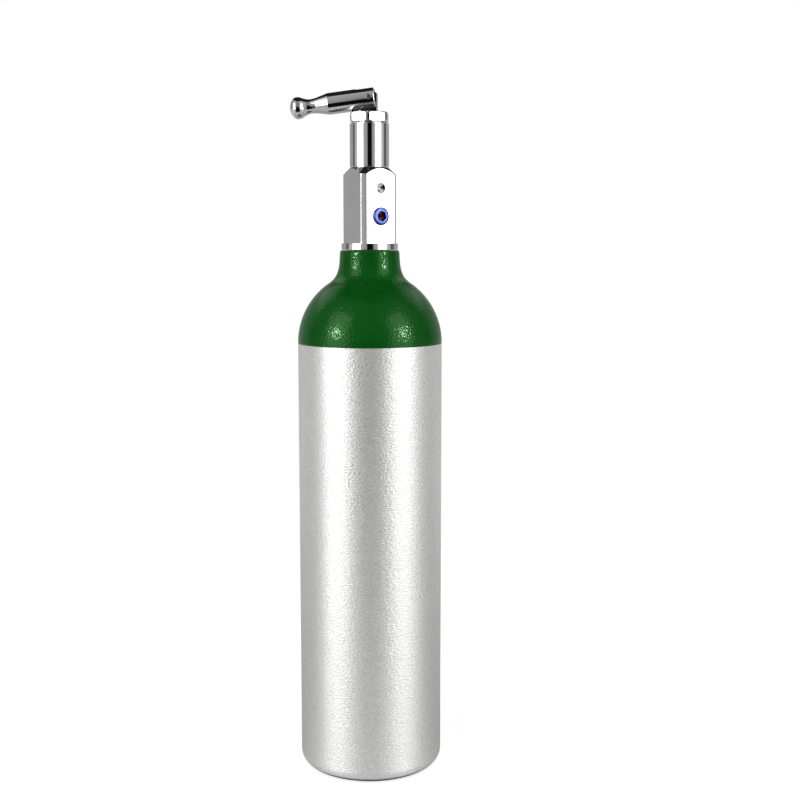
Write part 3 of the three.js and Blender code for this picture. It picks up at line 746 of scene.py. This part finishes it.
def lever_outline():
    bar = rounded([
        (0, -LEVER_END, 0), (LEVER_R, -LEVER_END, 0.8), (LEVER_R, 22.9, 0.5), (4.24, 30.0, 7.0),
        (NECK_R, NECK_AT, 5.0), (NECK_R + 0.02, 33.3, 0)], 8)
    neck = [(4.05, 33.95), (4.14, 34.5), (4.27, 35.0), (4.45, 35.5), (4.68, 36.05)]
    back = arc(0, KNOB_AT, KNOB_R, KNOB_R, -36, 0, 16)
    tip = arc(0, KNOB_AT, KNOB_R, KNOB_TIP - KNOB_AT, 4, 90, 24)
    tip[-1] = (0.0, KNOB_TIP)
    return bar + neck + back + tip


def build_lever():
    bar = turned("lever_fine", lever_outline(), 160)
    place(bar, Matrix.Translation((0, 0, -PIN_ABOVE_AXIS)) @ Matrix.Rotation(-math.pi / 2, 4, "Y"))
    length = LEVER_END + SLOT_REACH + 3.0
    slot = box_solid("cut_slot", (length, SLOT_W, 30), (length / 2 - SLOT_REACH, 0, 0))
    boolean(bar, [slot])
    soften(bar, 0.2)
    hole = turned("cut_hole", [
        (0, -9), (1.95, -9), (1.95, -6.1), (1.42, -5.55), (1.42, 5.55), (1.95, 6.1), (1.95, 9),
        (0, 9)], 64)
    boolean(bar, [place(hole, LIE_DOWN)])
    return place(bar, LEVER_PLACE)


def build_pin():
    outline = [
        (0.7, -5.7, 0), (0.95, -5.7, 0.08), (1.22, -5.45, 0.1), (1.22, 5.45, 0.1), (0.95, 5.7, 0.08),
        (0.7, 5.7, 0)]
    pin = turned("lever_pin_fine", rounded(outline, 3), 64, loop=True)
    boolean(pin, [box_solid("cut_slit", (2.4, 0.3, 20), (1.2, 0, 0))])
    pin.data.materials.append(STEEL)
    pin.data.materials.append(BORE)
    # the pin's inner bore walls take the near-black material, painted shade inside the hollow
    for face in pin.data.polygons:
        face.material_index = int(face.center.xy.length < 0.8 * MM and abs(face.normal.z) < 0.5)
    place(pin, LIE_DOWN)
    return place(pin, LEVER_PLACE)


dress(finish_shading(build_lever(), 40), CHROME_LEVER, "lever", "chrome_plate", "lever")
pin = finish_shading(build_pin(), 40)
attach(pin, "lever")
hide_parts("lever_pin")

# ---- carried-over CAD nodes --------------------------------------------------------------
CARRIED = {
    "neck_o_ring": RUBBER, "dip_tube": BRASS, "relief_gasket": NYLON, "burst_disc": COPPER,
    "bonnet_gasket": NYLON, "spindle_o_ring_lower": RUBBER, "spindle_o_ring_upper": RUBBER,
    "backup_ring_lower": NYLON, "backup_ring_upper": NYLON, "thrust_washer": NYLON, "lower_plug": BRASS,
    "seat_insert": NYLON,
}
for node, material in CARRIED.items():
    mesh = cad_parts[node].data
    mesh.materials.clear()
    mesh.materials.append(material)

# ---- stage, light and camera -------------------------------------------------------------
CAMERA_AT = Vector((0.0, -0.71894, 0.30117))
CAMERA_PITCH = math.radians(7.0626)
CAMERA_YAW = math.radians(1.3558)
CAMERA_LENS = 57.165
FLOOR_Z = -0.05


def add_camera():
    data = bpy.data.cameras.new("camera")
    data.lens = CAMERA_LENS
    data.sensor_width = 36.0
    data.clip_start = 0.01
    camera = bpy.data.objects.new("camera", data)
    camera.location = CAMERA_AT
    camera.rotation_euler = (math.pi / 2 - CAMERA_PITCH, 0, -CAMERA_YAW)
    bpy.context.scene.collection.objects.link(camera)
    bpy.context.scene.camera = camera


def add_floor():
    n = 96
    rings = [ring_at(r, FLOOR_Z, n) for r in (0.0, 60, 200, 350, 450)]
    floor = place(skin("floor", rings), Matrix.Translation((0, 90, 0)))
    floor.data.flip_normals()
    mat = bpy.data.materials.new("pale_floor")
    mat.use_nodes = True
    tree = mat.node_tree
    bsdf = tree.nodes["Principled BSDF"]
    bsdf.inputs["Roughness"].default_value = 0.9
    bsdf.inputs["Specular IOR Level"].default_value = 0.1
    bsdf.inputs["Base Color"].default_value = (0.65, 0.65, 0.65, 1)
    bsdf.inputs["Emission Color"].default_value = (0.72, 0.72, 0.72, 1)
    path = tree.nodes.new("ShaderNodeLightPath")
    tree.links.new(path.outputs["Is Camera Ray"], bsdf.inputs["Emission Strength"])
    floor.data.materials.append(mat)


def add_softbox(name, azimuth, distance, width, height, centre_z, power, only=None):
    """An area light facing the axis, at an angle in degrees from the camera's side.

    Sizes and places are metres. With `only`, it lights just that collection, and just its reflections.
    """
    data = bpy.data.lights.new(name, "AREA")
    data.shape = "RECTANGLE"
    data.size = width
    data.size_y = height
    data.energy = power
    light = bpy.data.objects.new(name, data)
    turn = math.radians(azimuth)
    light.location = (distance * math.sin(turn), -distance * math.cos(turn), centre_z)
    light.rotation_euler = (math.pi / 2, 0, turn)
    light.visible_camera = False
    if only:
        light.light_linking.receiver_collection = only
        light.visible_diffuse = False
    bpy.context.scene.collection.objects.link(light)


# Brightness of the surroundings that the chrome reflects, by degrees from the camera's side. The
# stops were set against the bands seen in the photo's chrome. The camera itself sees white.
AT_HORIZON = [
    (-180, 0.50), (-172, 0.40), (-150, 0.36), (-134, 0.35), (-115, 0.38), (-112, 0.12), (-97, 0.12),
    (-94, 0.46), (-76, 0.62), (-40, 0.45), (-16, 0.33), (-12, 0.26), (-9.5, 0.003), (12, 0.003),
    (16, 0.24), (22, 0.37), (38, 0.48), (76, 0.60), (90, 0.50), (95, 0.12), (116, 0.12), (120, 0.40),
    (150, 0.38), (172, 0.40), (180, 0.50)]
ABOVE_GAP = 0.22
GAP_FADE = (9, 16)  # degrees up, where the dark gap at the camera's side gives way
OVERHEAD_EDGE = (50, 44)  # degrees from the middle of the dark overhead patch
OVERHEAD_LEVEL = 0.014
HORIZON_FADE = (-1, -9)  # degrees up, where the ring gives way to the lower one
OVERHEAD_LEAN = math.radians(27)
OVERHEAD_NARROWING = 1.6
BELOW_HORIZON = [
    (-180, 0.62), (-60, 0.56), (-31, 0.36), (-24, 0.004), (24, 0.004), (31, 0.36), (60, 0.56),
    (180, 0.66)]


def grey_ramp(tree, fraction, stops):
    node = tree.nodes.new("ShaderNodeValToRGB")
    tree.links.new(fraction, node.inputs["Fac"])
    elements = node.color_ramp.elements
    elements.remove(elements[-1])
    for i, (degrees, level) in enumerate(stops):
        spot = (degrees + 180) / 360
        element = elements[0] if i == 0 else elements.new(spot)
        element.position = spot
        element.color = (level, level, level, 1)
    return node.outputs["Color"]


def add_world():
    world = bpy.data.worlds.new("studio")
    bpy.context.scene.world = world
    world.use_nodes = True
    tree = world.node_tree
    tree.nodes.clear()
    new, link = tree.nodes.new, tree.links.new
    coords = new("ShaderNodeTexCoord")
    split = new("ShaderNodeSeparateXYZ")
    link(coords.outputs["Generated"], split.inputs["Vector"])
    flip = new("ShaderNodeMath")
    flip.operation = "MULTIPLY"
    flip.inputs[1].default_value = -1.0
    link(split.outputs["Y"], flip.inputs[0])
    azimuth = new("ShaderNodeMath")
    azimuth.operation = "ARCTAN2"
    link(split.outputs["X"], azimuth.inputs[0])
    link(flip.outputs["Value"], azimuth.inputs[1])
    around = new("ShaderNodeMapRange")
    around.inputs["From Min"].default_value = -math.pi
    around.inputs["From Max"].default_value = math.pi
    link(azimuth.outputs["Value"], around.inputs["Value"])
    ring = grey_ramp(tree, around.outputs["Result"], AT_HORIZON)
    lift = new("ShaderNodeMapRange")
    lift.interpolation_type = "SMOOTHSTEP"
    lift.inputs["From Min"].default_value = math.sin(math.radians(GAP_FADE[0]))
    lift.inputs["From Max"].default_value = math.sin(math.radians(GAP_FADE[1]))
    link(split.outputs["Z"], lift.inputs["Value"])
    filled = new("ShaderNodeMix")
    filled.data_type = "RGBA"
    filled.blend_type = "LIGHTEN"
    link(lift.outputs["Result"], filled.inputs[0])
    link(ring, filled.inputs[6])
    filled.inputs[7].default_value = (ABOVE_GAP, ABOVE_GAP, ABOVE_GAP, 1)
    overhead = new("ShaderNodeVectorMath")
    overhead.operation = "DOT_PRODUCT"
    overhead.inputs[1].default_value = (0.0, math.sin(OVERHEAD_LEAN), math.cos(OVERHEAD_LEAN))
    narrowed = new("ShaderNodeVectorMath")
    narrowed.operation = "MULTIPLY"
    narrowed.inputs[1].default_value = (OVERHEAD_NARROWING, 1.0, 1.0)
    link(coords.outputs["Generated"], narrowed.inputs[0])
    unit = new("ShaderNodeVectorMath")
    unit.operation = "NORMALIZE"
    link(narrowed.outputs["Vector"], unit.inputs[0])
    link(unit.outputs["Vector"], overhead.inputs[0])
    height = new("ShaderNodeMapRange")
    height.interpolation_type = "SMOOTHSTEP"
    height.inputs["From Min"].default_value = math.cos(math.radians(OVERHEAD_EDGE[0]))
    height.inputs["From Max"].default_value = math.cos(math.radians(OVERHEAD_EDGE[1]))
    link(overhead.outputs["Value"], height.inputs["Value"])
    top = new("ShaderNodeMix")
    top.data_type = "RGBA"
    link(height.outputs["Result"], top.inputs[0])
    link(filled.outputs[2], top.inputs[6])
    top.inputs[7].default_value = (OVERHEAD_LEVEL, OVERHEAD_LEVEL, OVERHEAD_LEVEL, 1)
    depth = new("ShaderNodeMapRange")
    depth.interpolation_type = "SMOOTHSTEP"
    depth.inputs["From Min"].default_value = math.sin(math.radians(HORIZON_FADE[0]))
    depth.inputs["From Max"].default_value = math.sin(math.radians(HORIZON_FADE[1]))
    link(split.outputs["Z"], depth.inputs["Value"])
    low_ramp = grey_ramp(tree, around.outputs["Result"], BELOW_HORIZON)
    bottom = new("ShaderNodeMix")
    bottom.data_type = "RGBA"
    link(depth.outputs["Result"], bottom.inputs[0])
    link(top.outputs[2], bottom.inputs[6])
    link(low_ramp, bottom.inputs[7])
    studio = new("ShaderNodeBackground")
    link(bottom.outputs[2], studio.inputs["Color"])
    studio.inputs["Strength"].default_value = 1.0
    white = new("ShaderNodeBackground")
    white.inputs["Color"].default_value = (1, 1, 1, 1)
    path = new("ShaderNodeLightPath")
    blend = new("ShaderNodeMixShader")
    link(path.outputs["Is Camera Ray"], blend.inputs["Fac"])
    link(studio.outputs["Background"], blend.inputs[1])
    link(white.outputs["Background"], blend.inputs[2])
    out = new("ShaderNodeOutputWorld")
    link(blend.outputs["Shader"], out.inputs["Surface"])


add_camera()
add_floor()
add_world()
add_softbox("softbox_left", -55, 1.3, 0.86, 1.46, 0.78, 13.5)
add_softbox("softbox_right", 52.5, 1.3, 0.84, 1.46, 0.78, 12.0)
add_softbox("enamel_lamp_left", -57, 1.2, 0.15, 0.16, 0.59, 7.0, ENAMEL_ONLY)
add_softbox("enamel_high_left", -133, 1.3, 0.9, 0.9, 1.35, 1.7, ENAMEL_ONLY)
add_softbox("enamel_high_right", 133, 1.3, 0.9, 0.9, 1.35, 1.3, ENAMEL_ONLY)
add_softbox("enamel_lamp_right", 57, 1.2, 0.17, 0.16, 0.59, 6.6, ENAMEL_ONLY)
bpy.context.scene.view_settings.view_transform = "Standard"
bpy.context.scene.view_settings.look = "None"
